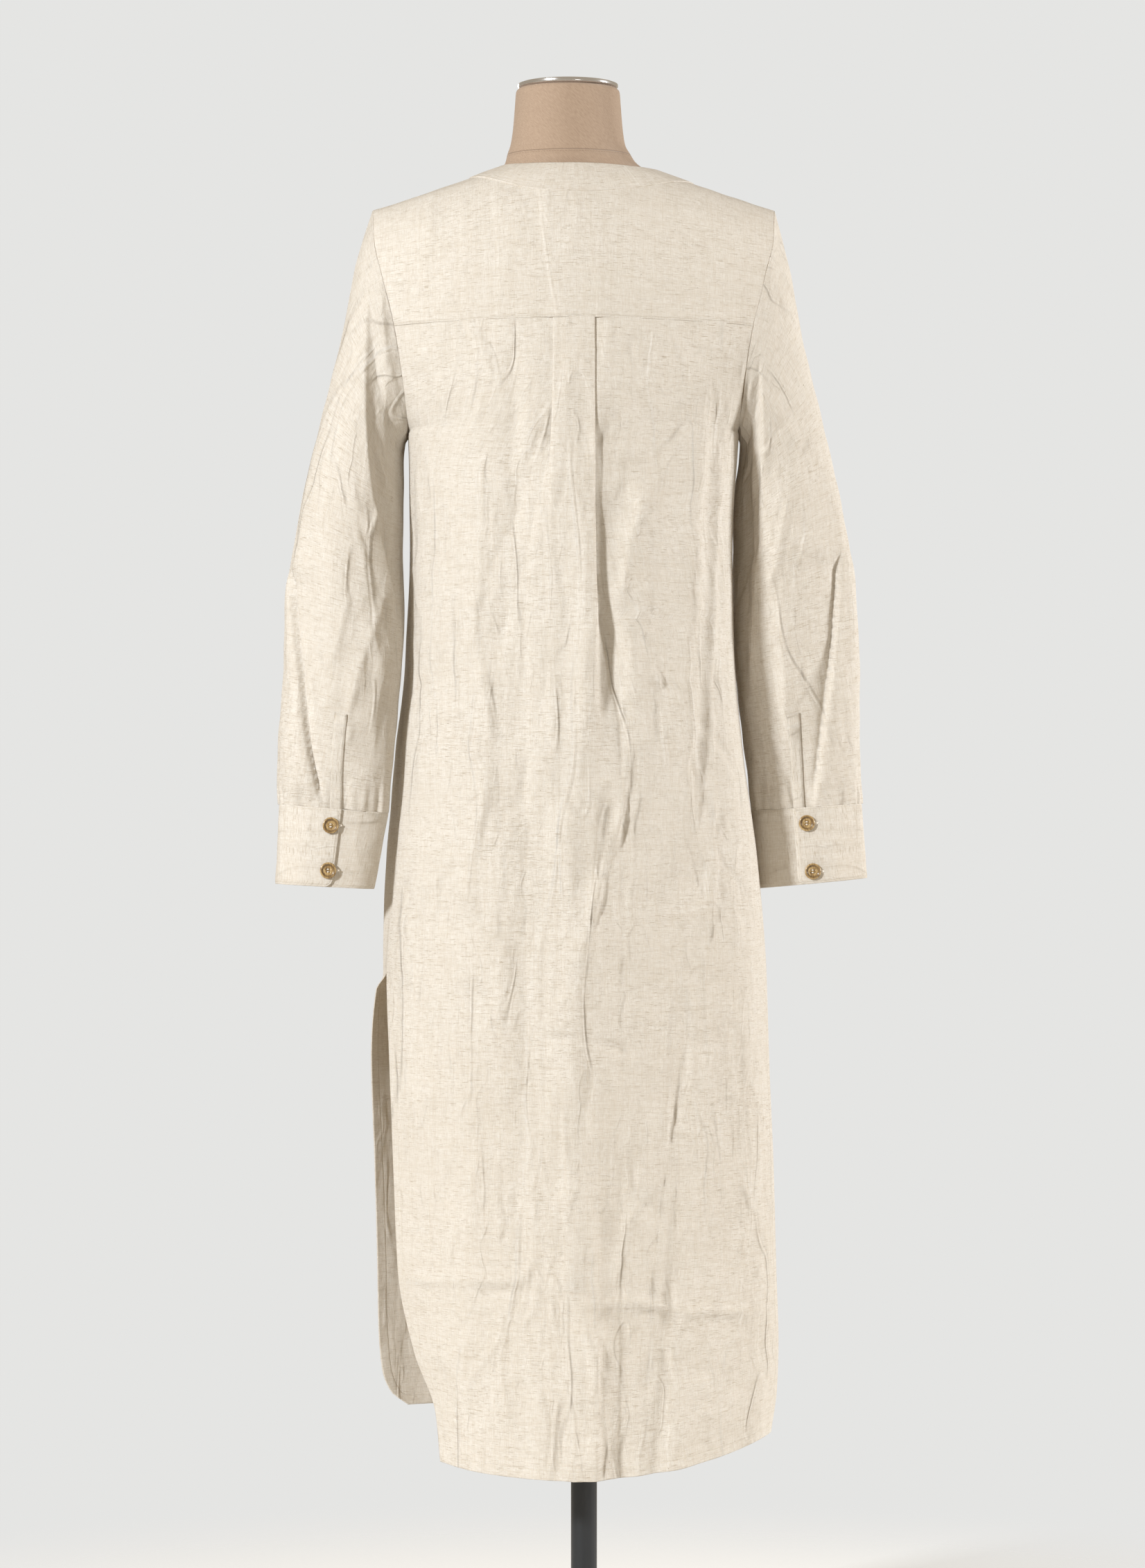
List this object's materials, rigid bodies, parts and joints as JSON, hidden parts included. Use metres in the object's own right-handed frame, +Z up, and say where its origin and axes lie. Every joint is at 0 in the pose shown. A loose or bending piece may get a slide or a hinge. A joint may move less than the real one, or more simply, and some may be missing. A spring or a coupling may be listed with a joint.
{
  "type": "maxi dress on a dress form",
  "caption": "Long-sleeved maxi shirt dress in slubbed cloth, with a back yoke, box pleat, side slits and buttoned cuffs, worn by a limbless dress form on a pole with a round base.",
  "frame": {"origin": "centre of the base's underside, on the pole's axis", "axes": "+Z up along the pole; the dress's front faces +Y and its back, with the yoke and the pleat, faces -Y; +X is the wearer's right"},
  "size_m": [0.5694, 0.36, 1.5487],
  "materials": {
    "linen": "matt slubbed weave",
    "form_cover": "matt fine twill",
    "horn_button": "polished horn look",
    "chrome_cap": "polished",
    "black_paint": "satin black"
  },
  "bodies": {
    "root": {"back_panel": "linen", "back_yoke": "linen", "front_panel": "linen", "neck_band": "linen", "sleeve_left": "linen", "sleeve_right": "linen", "placket_left": "linen", "placket_right": "linen", "cuff_left": "linen", "cuff_right": "linen", "button_left_upper": "horn_button", "button_left_lower": "horn_button", "button_right_upper": "horn_button", "button_right_lower": "horn_button", "form_torso": "form_cover", "neck_cap": "chrome_cap", "pole_socket": "black_paint", "pole": "black_paint", "base": "black_paint"}
  },
  "joints": []
}
